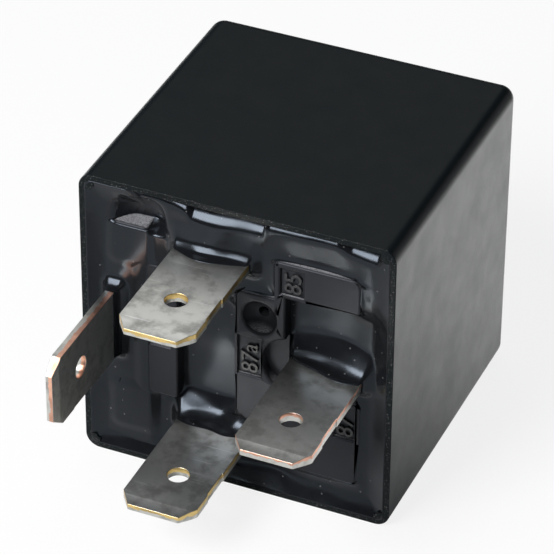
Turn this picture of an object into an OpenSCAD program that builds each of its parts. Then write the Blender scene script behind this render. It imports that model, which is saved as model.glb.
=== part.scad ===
// Sealed four-terminal automotive relay.
// Every piece is drawn upright: the cover's open rim lies in the plane z = 0, the terminals
// hang below it and the mechanism stands above it. lay_down() then turns the relay on its side,
// with the terminals towards -Y and the closed end of the cover towards +Y.
// x runs from terminal 30 to terminal 87, and y from terminal 85 to terminal 86.

/* [Cover] */
// Outside width of the square cover
cover_size = 26.5; // [26.5:0.25:30]
// Height of the cover from its rim to its closed end
cover_height = 26; // [26:0.25:32]
// Thickness of the four side walls
cover_wall = 1; // [0.8:0.05:1.1]
// Thickness of the closed end
cover_end = 1.2; // [0.8:0.1:1.3]
// Radius of the outside edges and corners
cover_radius = 1.2; // [0.8:0.1:1.6]
// Width of the lead-in chamfer inside the rim
rim_chamfer = 0.5; // [0.3:0.05:0.6]

/* [Base] */
// Depth of the raised pads behind the rim
pad_inset = 0.4; // [0.2:0.05:0.6]
// Height of the pads above the plate
pad_height = 2.2; // [1.8:0.1:2.4]
// Thickness of the plate
base_plate = 2.8; // [2.6:0.1:3]
// Gap between the plate and the cover walls
base_gap = 0.05; // [0.03:0.01:0.1]
// Height of the ribs that the yoke stands on
yoke_rib_height = 0.5; // [0.3:0.1:0.6]
// Depth of the terminal number fields
field_depth = 0.3; // [0.2:0.05:0.4]
// Radius of the vent dimple at the pad's face
dimple_radius = 1.5; // [1.2:0.1:1.7]
// Depth of the vent dimple
dimple_depth = 1.1; // [0.8:0.1:1.2]
// Diameter of the vent hole
vent_diameter = 0.9; // [0.7:0.05:1.1]

/* [Sealing resin] */
// Depth of the resin's flat surface behind the rim
resin_depth = 1.5; // [1.3:0.05:1.7]
// Radius of the resin's rise at the cover walls
wall_meniscus = 1.1; // [0.8:0.05:1.2]
// Radius of the resin's rise at the terminals
tab_meniscus = 1.5; // [1.2:0.05:1.6]
// Thickness of the resin film where a rise ends
resin_film = 0.1; // [0.08:0.01:0.15]

/* [Terminals] */
// Width of the flat tabs
tab_width = 6.3; // [5.8:0.1:6.5]
// Thickness of the flat tabs
tab_thickness = 0.8; // [0.6:0.05:0.9]
// Reach of the tabs past the rim
tab_reach = 11.3; // [10:0.1:13]
// Width that each tip corner is cut back
tip_cut_width = 1; // [0.6:0.1:1.4]
// Length that each tip corner is cut back
tip_cut_length = 1.4; // [1:0.1:1.8]
// Length of the thinned lead-in at the tip
tip_bevel = 1; // [0.6:0.1:2]
// Thickness of the tip's edge
tip_thickness = 0.55; // [0.3:0.05:0.6]
// Diameter of the locking hole
lock_hole_diameter = 1.8; // [1.5:0.05:2.2]
// Distance of the locking hole from the tip
lock_hole_to_tip = 4.7; // [4:0.1:5.4]
// Height of the shallow relief that the carrier strip leaves in each tab edge
edge_relief = 0.08; // [0.04:0.01:0.12]
// Middle of terminal 30, distance from the cover's left side
terminal_30_inset = 2.75; // [2.65:0.05:2.95]
// Middle of terminals 85 and 86, distance left of the centre
coil_tab_offset = 1.9; // [1.7:0.1:2.1]
// Middle of terminals 85 and 86, distance from the cover's nearest side
coil_tab_inset = 4.85; // [4.55:0.05:4.95]
// Middle of terminal 87, distance from the cover's right side
terminal_87_inset = 5.65; // [5.45:0.05:5.85]
// Clearance of a tab in its slot
slot_gap = 0.1; // [0.05:0.01:0.15]

/* [Magnet] */
// Thickness of the yoke
yoke_thickness = 1.4; // [1.2:0.05:1.5]
// Width of the yoke
yoke_width = 11; // [10:0.25:12]
// Clearance between the winding and the heads of the spring rivets
winding_gap = 0.45; // [0.3:0.05:0.5]
// Clearance between the armature stop and the closed end
head_room = 1.46; // [1.2:0.02:2.6]
// Thickness of the bobbin flanges
flange_thickness = 0.9; // [0.7:0.1:1.2]
// Wall of the bobbin barrel
barrel_wall = 0.7; // [0.5:0.05:0.9]
// Diameter of the core
core_diameter = 5.6; // [5:0.1:6]
// Diameter of the pole face
pole_diameter = 8; // [7:0.2:9]
// Thickness of the pole face
pole_thickness = 0.8; // [0.6:0.05:1]
// Outside diameter of the winding
winding_diameter = 11.2; // [10:0.1:11.4]
// Diameter of the winding wire
wire_diameter = 0.25; // [0.2:0.01:0.3]

/* [Armature and contacts] */
// Thickness of the armature
armature_thickness = 1.3; // [1.1:0.05:1.4]
// Width of the armature
armature_width = 10.6; // [9.5:0.1:11]
// Angle between the open and the closed armature
open_angle = 3; // [2:0.1:3.4]
// Gap between the closed armature and the yoke
closed_gap = 0.05; // [0.04:0.01:0.08]
// Radius of the hinge bead under the armature
bead_radius = 0.3; // [0.25:0.01:0.35]
// Running clearance of the bead in its groove
bead_gap = 0.04; // [0.03:0.01:0.06]
// Thickness of the contact spring
spring_thickness = 0.25; // [0.2:0.01:0.3]
// Width of the contact spring
spring_width = 8; // [7:0.1:8.6]
// Inside width of the window at the spring's bend
spring_window = 3.4; // [2.6:0.1:4]
// Middle of the contacts, distance from the cover's right side
contact_inset = 4.75; // [4.55:0.05:4.95]
// Diameter of the contact heads
contact_diameter = 3.4; // [3:0.1:3.8]
// Thickness of the contact heads
contact_thickness = 0.8; // [0.6:0.05:0.9]
// Diameter of the rivet shanks
rivet_diameter = 1.4; // [1.2:0.05:1.6]
// Diameter of the rivet heads
rivet_head_diameter = 2.4; // [2:0.1:2.6]
// Thickness of the rivet heads
rivet_head_thickness = 0.35; // [0.25:0.05:0.4]
// Gap left between touching contacts and at the stop
contact_gap = 0.04; // [0.03:0.01:0.08]

/* [Hidden] */
$fn = 48;
over = 1;                 // how far a cutting shape runs past what it cuts
hair = 0.02;              // radial play of a rivet shank in its hole
live_gap = 0.6;           // least distance between metal pieces on different circuits
side_gap = 0.3;           // clearance beside a moving piece

// Cover and base levels, measured up from the rim
cavity_size = cover_size - 2 * cover_wall;
cavity_radius = max(0.3, cover_radius - cover_wall);
plate_face = pad_inset + pad_height;
plate_top = plate_face + base_plate;
relay_length = cover_height + tab_reach;
rim_y = tab_reach - relay_length / 2;

// Outer edges of the pads: the resin runs between them and the cover
pad_left = 1.65 - cavity_size / 2;
pad_right = cavity_size / 2 - 2;
pad_85_side = 2.95 - cavity_size / 2;
pad_86_side = cavity_size / 2 - 1.95;
number_width = 1.95;
number_depth = 2.45;

// Raised pads of the base as [left, low, right, high] edges, before their shared pocket is cut
PADS = [
    [3.05, pad_85_side, pad_right, pad_85_side + 3.15],
    [-0.2, -5.75, 4.05, 6.65],
    [3.05, pad_85_side, 4.05, 2.8],
    [-8.25, -6.05, -5.15, 6.45],
    [pad_left, pad_85_side, pad_left + 3, pad_85_side + 3.4],
    [pad_left, pad_86_side - 3.75, pad_left + 2.9, pad_86_side - 0.1],
    [4, 1.85, pad_right, pad_86_side]
];
PAD_RADIUS = 0.35;
// Low corners of the fields for the terminal numbers, and how much longer than two digits each is
FIELDS = [
    [3.6, pad_85_side + 0.55, 0],
    [0, -1.4, 1.15],
    [pad_right - 2, 2.85, 0.65],
    [-7.8, -0.8, 0],
    [4.5, pad_86_side - 3.7, 0]
];
VENT = [1.85, -3.55];
POCKET = [4.6, 0.35];
POCKET_RADIUS = 2.5;
POCKET_DEPTH = 0.9;
pocket_width = 4;
rib_width = 0.8;
rib_reach = 0.5;
rib_place = cavity_size / 2 - 2.5;

// Tabs
tab_tip = -tab_reach;
hole_z = tab_tip + lock_hole_to_tip;
shoulder_extra = 0.6;
shoulder_height = 1.2;
relief_to_tip = 3.4;
relief_length = 2.8;
relief_from = tab_tip + relief_to_tip;
relief_to = relief_from + relief_length;
terminal_30_offset = cover_size / 2 - terminal_30_inset;
terminal_87_offset = cover_size / 2 - terminal_87_inset;
coil_tab_x = -coil_tab_offset;
coil_tab_y = cover_size / 2 - coil_tab_inset;
post_width = 1.2;
post_height = 5.2;
post_top = plate_top + post_height;

// Magnet: the closed end and the open armature set how high the yoke and the bobbin reach
contact_offset = cover_size / 2 - contact_inset;
yoke_bottom = plate_top + yoke_rib_height;
yoke_outer_x = -terminal_30_offset + tab_thickness / 2;
yoke_inner_x = yoke_outer_x + yoke_thickness;
coil_x = yoke_inner_x + rivet_head_thickness + winding_gap + winding_diameter / 2;
pivot_x = yoke_outer_x + yoke_thickness / 2;
tail_reach = contact_offset + rivet_head_diameter / 2 - pivot_x;
tail_height = closed_gap + armature_thickness + spring_thickness + rivet_head_thickness;
tail_rise = tail_reach * sin(open_angle) + tail_height * cos(open_angle);
stop_face = cover_height - cover_end - head_room - tab_thickness;
yoke_top = stop_face - contact_gap - tail_rise;
pole_top = yoke_top - closed_gap;
bobbin_top = pole_top - pole_thickness;
bobbin_bottom = yoke_bottom + yoke_thickness;
bobbin_height = bobbin_top - bobbin_bottom;
flange_gap = 0.2;
flange_radius = 0.8;
flange_half_x = coil_x - flange_gap - yoke_inner_x;
flange_half_y = min(winding_diameter / 2 + 1.15, coil_tab_y - tab_thickness / 2 - live_gap);
yoke_foot_end = terminal_87_offset - tab_width / 2 - shoulder_extra - live_gap;
core_shank_diameter = core_diameter - 1.2;
yoke_bend = yoke_thickness / 2;      // inside radius of the yoke's bend
flange_chamfer = yoke_bend + 0.1;

// Coil wire ends
lead_z = bobbin_bottom + flange_thickness + 0.9;
wrap_radius = norm([post_width, tab_thickness]) / 2 + wire_diameter / 2 + hair;
wrap_turns = 3;
wrap_pitch = 0.9 * wire_diameter;
wrap_height = (wrap_turns - 1) * wrap_pitch + wire_diameter;
solder_height = 0.6;

// Armature, spring and contacts
pivot = [pivot_x, yoke_top];
armature_bottom = yoke_top + closed_gap;
armature_top = armature_bottom + armature_thickness;
armature_rear = pivot[0] - bead_radius - 0.15;
armature_front = coil_x + pole_diameter / 2 + 1.2;
armature_nose_width = armature_width - 3;
spring_x = yoke_outer_x - tab_thickness - spring_thickness / 2;
spring_bottom = yoke_bottom + 2.2;
spring_bend = 0.9;
spring_end = contact_offset + contact_diameter / 2 + 0.3;
spring_nose_width = contact_diameter + 1.4;
spring_rivet_margin = 1.6;
spring_rivet_spacing = 3.2;
spring_rivet_z = [spring_bottom, spring_bottom + spring_rivet_spacing] + [1, 1] * spring_rivet_margin;
terminal_30_top = spring_rivet_z[1] + spring_rivet_margin + 0.2;
window_bottom = spring_rivet_z[1] + rivet_head_diameter / 2 + 1.2;
armature_rivet = [coil_x - rivet_head_diameter, armature_width / 4];
moving_face = armature_top - contact_thickness;
fixed_face = moving_face - contact_gap;
fixed_tab_top = fixed_face - contact_thickness;
bracket_offset = spring_nose_width / 2 + tab_thickness / 2 + side_gap;
bracket_width = 4.2;
bracket_bend = 0.7;
contact_margin = 0.4;      // metal left round a contact's outermost edge
stop_foot = plate_face + 0.5;

// Turns a point [x, z] about the pivot from the closed to the open armature
function opened_point(p) = let (d = p - pivot, c = cos(open_angle), s = sin(open_angle))
    pivot + [c * d[0] - s * d[1], s * d[0] + c * d[1]];

// Centre line of a bend, from one angle to another
function bend(centre, radius, from, to, steps = 6) =
    [for (i = [0:steps]) let (a = from + (to - from) * i / steps) centre + radius * [cos(a), sin(a)]];

// Outline of a strip of even thickness along a centre line, mitred at each point
function unit(v) = v / norm(v);
function left_of(v) = [-v[1], v[0]];
function strip_side(line, offset) = [
    for (i = [0:len(line) - 1]) let (
        last = len(line) - 1,
        n0 = left_of(unit(i == 0 ? line[1] - line[0] : line[i] - line[i - 1])),
        n1 = left_of(unit(i == last ? line[last] - line[last - 1] : line[i + 1] - line[i])),
        m = unit(n0 + n1)
    ) line[i] + offset / (m * n0) * m
];
function reversed(v) = [for (i = [len(v) - 1:-1:0]) v[i]];
function strip(line, thickness) =
    concat(strip_side(line, thickness / 2), reversed(strip_side(line, -thickness / 2)));

// Extrudes a drawing made in the x-z plane along y, or one made in the y-z plane along x
module along_y(length) rotate([90, 0, 0]) linear_extrude(length, center = true) children();
module along_x(length) rotate([90, 0, 90]) linear_extrude(length, center = true) children();

// Turns the closed armature and what is fixed to it into the open position
module opened()
    translate([pivot[0], 0, pivot[1]]) rotate([0, -open_angle, 0]) translate([-pivot[0], 0, -pivot[1]])
        children();

// Lays the upright relay on its side, with the origin under the middle of it
module lay_down() translate([0, rim_y, cover_size / 2]) rotate([-90, 0, 0]) children();

module rounded_rect(width, depth, radius) {
    square([width - 2 * radius, depth], center = true);
    square([width, depth - 2 * radius], center = true);
    for (x = [-1, 1], y = [-1, 1])
        translate([x * (width / 2 - radius), y * (depth / 2 - radius)]) circle(radius);
}

// A block with round upright edges and a round upper edge, standing on z = 0
module capped_block(size, height, radius) {
    inner = size - 2 * radius;
    linear_extrude(height - radius) rounded_rect(size, size, radius);
    translate([-inner / 2, -inner / 2, 0]) cube([inner, inner, height]);
    translate([0, 0, height - radius]) for (side = [0:3]) rotate(90 * side) {
        translate([inner / 2, 0, 0]) rotate([90, 0, 0]) cylinder(h = inner, r = radius, center = true);
        translate([inner / 2, inner / 2, 0]) sphere(radius);
    }
}

// Cover: a deep moulded cap with a chamfer inside its rim, and inner ribs that the plate seats on
module cover() color([0.055, 0.06, 0.065]) {
    difference() {
        capped_block(cover_size, cover_height, cover_radius);
        translate([0, 0, -over])
            linear_extrude(cover_height - cover_end + over)
                rounded_rect(cavity_size, cavity_size, cavity_radius);
        for (side = [0:3]) rotate(90 * side) rim_chamfer_cut();
    }
    for (side = [0:3], end = [-1, 1]) rotate(90 * side)
        translate([cavity_size / 2 - rib_reach, end * rib_place - rib_width / 2, plate_top])
            cube([rib_reach + cover_wall / 2, rib_width, cover_height - cover_end / 2 - plate_top]);
}

module rim_chamfer_cut() along_y(cavity_size - 2 * cavity_radius) polygon([
    [cavity_size / 2 - over, -over],
    [cavity_size / 2 + rim_chamfer, -over],
    [cavity_size / 2 + rim_chamfer, 0],
    [cavity_size / 2, 2 * rim_chamfer],
    [cavity_size / 2 - over, 2 * rim_chamfer]
]);

// Raised pads between the rim and the plate
module pads(from, to) translate([0, 0, from]) linear_extrude(to - from) for (p = PADS)
    translate([p[0] + p[2], p[1] + p[3]] / 2) rounded_rect(p[2] - p[0], p[3] - p[1], PAD_RADIUS);

// The round pocket in the middle pad, and the flats that stay around it
module pocket() intersection() {
    translate([POCKET[0], POCKET[1], pad_inset - over]) cylinder(h = POCKET_DEPTH + over, r = POCKET_RADIUS);
    translate([-over, POCKET[1] - POCKET_RADIUS, pad_inset - over])
        cube([pocket_width + 2 * over, 2 * POCKET_RADIUS, 2 * over + POCKET_DEPTH]);
}

module tab_slot(across_x) {
    size = [tab_width + 2 * slot_gap, tab_thickness + 2 * slot_gap];
    translate([0, 0, pad_inset - over]) linear_extrude(plate_top - pad_inset + 2 * over)
        square(across_x ? size : [size[1], size[0]], center = true);
}

// Places children at each terminal, drawn with the tab's width along x
module at_terminal_30() translate([-terminal_30_offset, 0, 0]) rotate(90) children();
module at_terminal_87() translate([terminal_87_offset, 0, 0]) children();
module at_coil_terminal(side) translate([coil_tab_x, side * coil_tab_y, 0]) children();
module at_every_terminal() {
    at_terminal_30() children();
    at_terminal_87() children();
    at_coil_terminal(-1) children();
    at_coil_terminal(1) children();
}

// Base: the plate with its pads, number fields, vent, slots and inner ribs
module base() color([0.085, 0.088, 0.095]) difference() {
    union() {
        translate([0, 0, plate_face]) linear_extrude(base_plate)
            rounded_rect(cavity_size - 2 * base_gap, cavity_size - 2 * base_gap, cavity_radius);
        pads(pad_inset, plate_face + over);
        yoke_ribs();
    }
    at_every_terminal() tab_slot(true);
    for (f = FIELDS) translate([f[0], f[1], pad_inset - over])
        cube([number_width, number_depth + f[2], field_depth + over]);
    pocket();
    vent();
    stop_socket();
}

// Two ribs carry the yoke's foot, and two more keep it from sliding sideways
module yoke_ribs() for (side = [-1, 1]) {
    base_rib(side * (yoke_width / 2 - 0.9), yoke_rib_height);
    base_rib(side * (yoke_width / 2 + slot_gap + rib_width / 2), yoke_rib_height + yoke_thickness / 2);
}

module base_rib(y, height) translate([yoke_outer_x + 2, y - rib_width / 2, plate_top - over])
    cube([yoke_foot_end - yoke_outer_x - 3, rib_width, height + over]);

module vent() translate([VENT[0], VENT[1], 0]) {
    ball = (pow(dimple_radius, 2) + pow(dimple_depth, 2)) / (2 * dimple_depth);
    translate([0, 0, pad_inset + dimple_depth - ball]) sphere(ball);
    cylinder(h = plate_top + over, d = vent_diameter);
}

module stop_socket() translate([
    contact_offset - bracket_width / 2 - slot_gap, bracket_offset - tab_thickness / 2 - slot_gap, stop_foot
]) cube([bracket_width + 2 * slot_gap, tab_thickness + 2 * slot_gap, plate_top]);

// Sealing resin: a poured layer that rises at the cover walls and round each tab
module sealing_resin() color([0.02, 0.022, 0.025]) difference() {
    union() {
        difference() {
            translate([0, 0, resin_depth - wall_meniscus])
                linear_extrude(plate_face - resin_depth + wall_meniscus)
                    rounded_rect(cavity_size, cavity_size, cavity_radius);
            translate([0, 0, -over])
                capped_block(cavity_size - 2 * resin_film, resin_depth + over, wall_meniscus);
        }
        intersection() {
            at_every_terminal() tab_collar();
            translate([0, 0, -over]) linear_extrude(plate_face + over)
                rounded_rect(cavity_size, cavity_size, cavity_radius);
        }
    }
    pads(pad_inset - 3 * over, plate_face + over);
    at_every_terminal() translate([0, 0, -4 * over]) linear_extrude(plate_face + 5 * over)
        square([tab_width, tab_thickness], center = true);
}

// Concave rise of the resin round one tab: four straight sides and four quarter-round corners
module tab_collar() translate([0, 0, resin_depth]) {
    half = [tab_width / 2 + resin_film, tab_thickness / 2 + resin_film];
    translate([-half[0], -half[1], -tab_meniscus])
        cube([2 * half[0], 2 * half[1], tab_meniscus + plate_face - resin_depth]);
    for (side = [-1, 1]) {
        translate([0, side * half[1], 0]) rotate(side * 90) along_y(2 * half[0]) rise_profile();
        translate([side * half[0], 0, 0]) rotate(side > 0 ? 0 : 180) along_y(2 * half[1]) rise_profile();
        for (end = [-1, 1]) translate([end * half[0], side * half[1], 0])
            rotate_extrude() rise_profile();
    }
}

module rise_profile() difference() {
    translate([0, -tab_meniscus]) square([tab_meniscus, tab_meniscus + plate_face - resin_depth]);
    translate([tab_meniscus, -tab_meniscus]) circle(tab_meniscus);
    translate([tab_meniscus - over / 4, -2 * tab_meniscus]) square([over, 2 * tab_meniscus]);
}

// Face view of a tab, with cut tip corners and the shallow relief of the carrier strip
module tab_face(top) {
    half = tab_width / 2;
    polygon([
        [-half + tip_cut_width, tab_tip], [half - tip_cut_width, tab_tip],
        [half, tab_tip + tip_cut_length], [half, relief_from],
        [half - edge_relief, relief_from], [half - edge_relief, relief_to],
        [half, relief_to], [half, top], [-half, top],
        [-half, tab_tip + tip_cut_length]
    ]);
}

// The terminal seen edge on: its thinned tip, and above the plate the strip along a centre line
module terminal_edge(line) polygon(concat(
    [[-tab_thickness / 2, tab_tip + tip_bevel], [-tip_thickness / 2, tab_tip]],
    [[tip_thickness / 2, tab_tip], [tab_thickness / 2, tab_tip + tip_bevel]],
    strip_side(line, -tab_thickness / 2),
    reversed(strip_side(line, tab_thickness / 2))
));

module lock_hole() translate([0, 0, hole_z]) rotate([90, 0, 0])
    cylinder(h = tab_thickness + 2 * over, d = lock_hole_diameter, center = true);

// The shoulder that stops a tab on the plate
module shoulder_face() translate([-tab_width / 2 - shoulder_extra, plate_top])
    square([tab_width + 2 * shoulder_extra, shoulder_height]);

// A terminal from its tab to its upper end: children draw the face above the shoulder,
// and the centre line, as [y, z] points, gives its bends
module terminal(line) difference() {
    intersection() {
        along_y(cover_size) {
            tab_face(plate_top + shoulder_height / 2);
            shoulder_face();
            children();
        }
        along_x(2 * tab_width) terminal_edge(line);
    }
    lock_hole();
}

module straight_terminal() terminal([[0, plate_top], [0, cover_height]]) children();

// Terminal 30: its upper part is clamped between the contact spring and the yoke
module terminal_30() color([0.74, 0.72, 0.69]) difference() {
    at_terminal_30() straight_terminal() translate([-tab_width / 2, plate_top])
        square([tab_width, terminal_30_top - plate_top]);
    spring_rivet_holes();
}

// Terminals 85 and 86: each ends in a post for a coil wire
module coil_terminal(side) color([0.77, 0.76, 0.71]) at_coil_terminal(side) straight_terminal()
    translate([coil_x - coil_tab_x - post_width / 2, plate_top]) square([post_width, post_top - plate_top]);

// Terminal 87: above the plate it steps sideways, rises beside the coil and folds over
// to carry the fixed contact
module terminal_87() color([0.74, 0.72, 0.69]) difference() {
    at_terminal_87() terminal(contact_arm_line())
        translate([contact_offset - terminal_87_offset - bracket_width / 2, plate_top])
            square([bracket_width, fixed_tab_top - plate_top + over]);
    contact_hole(fixed_tab_top);
}

function contact_arm_line() = let (
    mid = fixed_tab_top - tab_thickness / 2,
    step_from = plate_top + shoulder_height + 0.3
) concat(
    [[0, plate_top], [0, step_from], [-bracket_offset, step_from + bracket_offset]],
    bend([-bracket_offset + bracket_bend, mid - bracket_bend], bracket_bend, 180, 90),
    [[contact_diameter / 2 + contact_margin, mid]]
);

module contact_hole(z) translate([contact_offset, 0, z - over])
    cylinder(h = 2 * over, d = rivet_diameter + 2 * hair, center = true);

// Yoke: an angle of soft iron, with a hole for the core and a groove for the hinge bead
module yoke() color([0.62, 0.62, 0.6]) difference() {
    along_y(yoke_width) polygon(strip(yoke_line(), yoke_thickness));
    translate([coil_x, 0, yoke_bottom - over])
        cylinder(h = yoke_thickness + 2 * over, d = core_shank_diameter + 2 * hair);
    translate([pivot[0], 0, pivot[1]]) rotate([90, 0, 0])
        cylinder(h = yoke_width + over, r = bead_radius + bead_gap, center = true);
    spring_rivet_holes();
}

function yoke_line() = let (
    foot = yoke_bottom + yoke_thickness / 2,
    back = yoke_outer_x + yoke_thickness / 2
) concat(
    [[yoke_foot_end, foot]],
    bend([back, foot] + [1, 1] * (yoke_bend + yoke_thickness / 2), yoke_bend + yoke_thickness / 2, 270, 180),
    [[back, yoke_top]]
);

// Core: its shank is riveted into the yoke and its head is the pole face
module core() color([0.66, 0.65, 0.63]) translate([coil_x, 0, 0]) {
    translate([0, 0, yoke_bottom]) cylinder(h = yoke_thickness + over, d = core_shank_diameter);
    translate([0, 0, bobbin_bottom]) cylinder(h = bobbin_height + pole_thickness / 2, d = core_diameter);
    translate([0, 0, bobbin_top]) cylinder(h = pole_thickness, d = pole_diameter);
}

// Bobbin: a barrel between two flanges
module bobbin() color([0.75, 0.7, 0.58]) translate([coil_x, 0, bobbin_bottom]) difference() {
    union() {
        cylinder(h = bobbin_height, d = core_diameter + 2 * barrel_wall);
        for (z = [0, bobbin_height - flange_thickness]) translate([0, 0, z])
            linear_extrude(flange_thickness) rounded_rect(2 * flange_half_x, 2 * flange_half_y, flange_radius);
    }
    translate([0, 0, -over]) cylinder(h = bobbin_height + 2 * over, d = core_diameter + 2 * hair);
    // The lower flange clears the inside of the yoke's bend
    translate([-flange_half_x, 0, 0]) along_y(2 * flange_half_y + over)
        polygon([[-over, -over], [flange_chamfer + over, -over], [-over, flange_chamfer + over]]);
}

// Winding: the wound body, and the two wire ends that wrap the posts of terminals 85 and 86
module coil_winding() color([0.62, 0.27, 0.12]) {
    low = bobbin_bottom + flange_thickness;
    high = bobbin_top - flange_thickness;
    barrel = core_diameter / 2 + barrel_wall;
    round_over = 0.5;
    translate([coil_x, 0, 0]) rotate_extrude() polygon([
        [barrel, low], [winding_diameter / 2 - round_over, low], [winding_diameter / 2, low + round_over],
        [winding_diameter / 2, high - round_over], [winding_diameter / 2 - round_over, high], [barrel, high]
    ]);
    for (side = [-1, 1]) wire_end(side);
}

// A wire end runs straight to its post and ends in turns that press against each other
module wire_end(side) {
    lead_from = winding_diameter / 2 - wire_diameter;
    translate([coil_x - wrap_radius, side * lead_from, lead_z]) rotate([-side * 90, 0, 0])
        cylinder(h = coil_tab_y - lead_from, d = wire_diameter, $fn = 16);
    for (turn = [0:wrap_turns - 1])
        translate([coil_x, side * coil_tab_y, lead_z + (turn - (wrap_turns - 1) / 2) * wrap_pitch])
            rotate_extrude() translate([wrap_radius, 0]) circle(d = wire_diameter, $fn = 16);
}

// Solder cap that joins a wrapped wire end to its post
module solder_joint(side) color([0.7, 0.7, 0.68])
    translate([coil_x, side * coil_tab_y, lead_z + wrap_height / 2]) difference() {
        cylinder(h = solder_height, r1 = wrap_radius + wire_diameter / 2, r2 = wrap_radius - 0.05);
        cube([post_width, tab_thickness, 3 * over], center = true);
    }

// Armature: a soft iron plate with a hinge bead, narrower over the contacts
module armature() color([0.68, 0.67, 0.64]) opened() difference() {
    union() {
        intersection() {
            along_y(armature_width) polygon([
                [armature_rear, armature_bottom], [armature_front, armature_bottom],
                [armature_front, armature_top], [armature_rear + 0.5, armature_top],
                [armature_rear, armature_top - 0.5]
            ]);
            translate([0, 0, armature_bottom - over]) linear_extrude(armature_thickness + 2 * over) polygon([
                [armature_rear, -armature_width / 2], [coil_x, -armature_width / 2],
                [armature_front, -armature_nose_width / 2], [armature_front, armature_nose_width / 2],
                [coil_x, armature_width / 2], [armature_rear, armature_width / 2]
            ]);
        }
        translate([pivot[0], 0, pivot[1]]) rotate([90, 0, 0])
            cylinder(h = armature_width, r = bead_radius, center = true);
    }
    armature_rivet_holes();
}

module armature_rivet_holes() for (side = [-1, 1])
    translate([armature_rivet[0], side * armature_rivet[1], armature_bottom - over])
        cylinder(h = armature_thickness + spring_thickness + 2 * over, d = rivet_diameter + 2 * hair);

// Contact spring: one strip that is riveted to the yoke, bends over the hinge, lies on the
// armature and reaches past it with the moving contact
module contact_spring() color([0.72, 0.42, 0.2]) difference() {
    along_y(spring_width) polygon(strip(spring_line(), spring_thickness));
    spring_rivet_holes();
    translate([spring_x - over, -spring_window / 2, window_bottom])
        cube([2 * spring_bend + over, spring_window, cover_height]);
    opened() {
        armature_rivet_holes();
        contact_hole(armature_top + over);
        for (side = [-1, 1]) spring_nose_cut(side);
    }
}

function spring_line() = let (
    level = armature_top + spring_thickness / 2,
    on_armature = opened_point([0, level]),
    centre_x = spring_x + spring_bend,
    centre_z = on_armature[1]
        - (spring_bend + (on_armature[0] - centre_x) * sin(open_angle)) / cos(open_angle)
) concat(
    [[spring_x, spring_bottom]],
    bend([centre_x, centre_z], spring_bend, 180, 90 + open_angle, 8),
    [opened_point([spring_end, level])]
);

// Cuts one side of the spring back to the narrow nose that carries the contact
module spring_nose_cut(side) translate([0, 0, armature_top - over]) linear_extrude(2 * over + spring_thickness)
    polygon([
        [armature_front - 0.6, side * spring_width], [armature_front - 0.6, side * spring_width / 2],
        [armature_front + 1.6, side * spring_nose_width / 2], [spring_end - 0.8, side * spring_nose_width / 2],
        [spring_end, side * (spring_nose_width / 2 - 0.8)], [spring_end + over, side * (spring_nose_width / 2 - 0.8)],
        [spring_end + over, side * spring_width]
    ]);

module spring_rivet_holes() for (z = spring_rivet_z)
    translate([yoke_inner_x + over, 0, z]) rotate([0, -90, 0])
        cylinder(h = yoke_thickness + tab_thickness + spring_thickness + 3 * over, d = rivet_diameter + 2 * hair);

// A rivet that clamps a stack of the given height, standing on z = 0
module rivet(grip) {
    cylinder(h = grip, d = rivet_diameter);
    for (z = [-rivet_head_thickness, grip]) translate([0, 0, z])
        cylinder(h = rivet_head_thickness, d = rivet_head_diameter);
}

module spring_rivets() color([0.7, 0.66, 0.55]) for (z = spring_rivet_z)
    translate([yoke_inner_x, 0, z]) rotate([0, -90, 0])
        rivet(yoke_thickness + tab_thickness + spring_thickness);

// These two are countersunk below: only their upper heads stand proud
module armature_rivets() color([0.7, 0.66, 0.55]) opened() for (side = [-1, 1])
    translate([armature_rivet[0], side * armature_rivet[1], armature_bottom]) {
        cylinder(h = armature_thickness + spring_thickness, d = rivet_diameter);
        translate([0, 0, armature_thickness + spring_thickness])
            cylinder(h = rivet_head_thickness, d = rivet_head_diameter);
    }

// A contact rivet with its face upwards at z = 0 and its tail below what it is riveted into
module contact_rivet(grip) {
    translate([0, 0, -contact_thickness]) cylinder(h = contact_thickness * 0.75, d = contact_diameter);
    translate([0, 0, -contact_thickness * 0.25])
        cylinder(h = contact_thickness * 0.25, d1 = contact_diameter, d2 = contact_diameter - 0.5);
    translate([0, 0, -contact_thickness - grip]) cylinder(h = grip + contact_thickness / 2, d = rivet_diameter);
    translate([0, 0, -contact_thickness - grip - rivet_head_thickness])
        cylinder(h = rivet_head_thickness, d = rivet_head_diameter);
}

module moving_contact() color([0.82, 0.82, 0.8]) opened()
    translate([contact_offset, 0, moving_face]) rotate([180, 0, 0]) contact_rivet(spring_thickness);

module fixed_contact() color([0.82, 0.82, 0.8])
    translate([contact_offset, 0, fixed_face]) contact_rivet(tab_thickness);

// Armature stop: a bracket pressed into the base that reaches over the moving contact
module armature_stop() color([0.66, 0.64, 0.58]) translate([contact_offset, 0, 0])
    along_x(bracket_width) polygon(strip(stop_line(), tab_thickness));

function stop_line() = let (mid = stop_face + tab_thickness / 2) concat(
    [[bracket_offset, stop_foot]],
    bend([bracket_offset - bracket_bend, mid - bracket_bend], bracket_bend, 0, 90),
    [[-rivet_head_diameter / 2 - contact_margin, mid]]
);

lay_down() cover();
lay_down() base();
lay_down() sealing_resin();
lay_down() terminal_30();
lay_down() coil_terminal(-1);  // terminal_85
lay_down() coil_terminal(1);  // terminal_86
lay_down() terminal_87();
lay_down() yoke();
lay_down() core();
lay_down() bobbin();
lay_down() coil_winding();
lay_down() solder_joint(-1);  // solder_joint_85
lay_down() solder_joint(1);  // solder_joint_86
lay_down() armature();
lay_down() contact_spring();
lay_down() moving_contact();
lay_down() armature_rivets();
lay_down() fixed_contact();
lay_down() armature_stop();
lay_down() spring_rivets();
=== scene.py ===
"""A sealed four-terminal automotive relay, lying on its side with its terminals to the front."""

import math

import bmesh
import bpy
import numpy as np
from mathutils import Euler, Matrix, Vector


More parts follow.
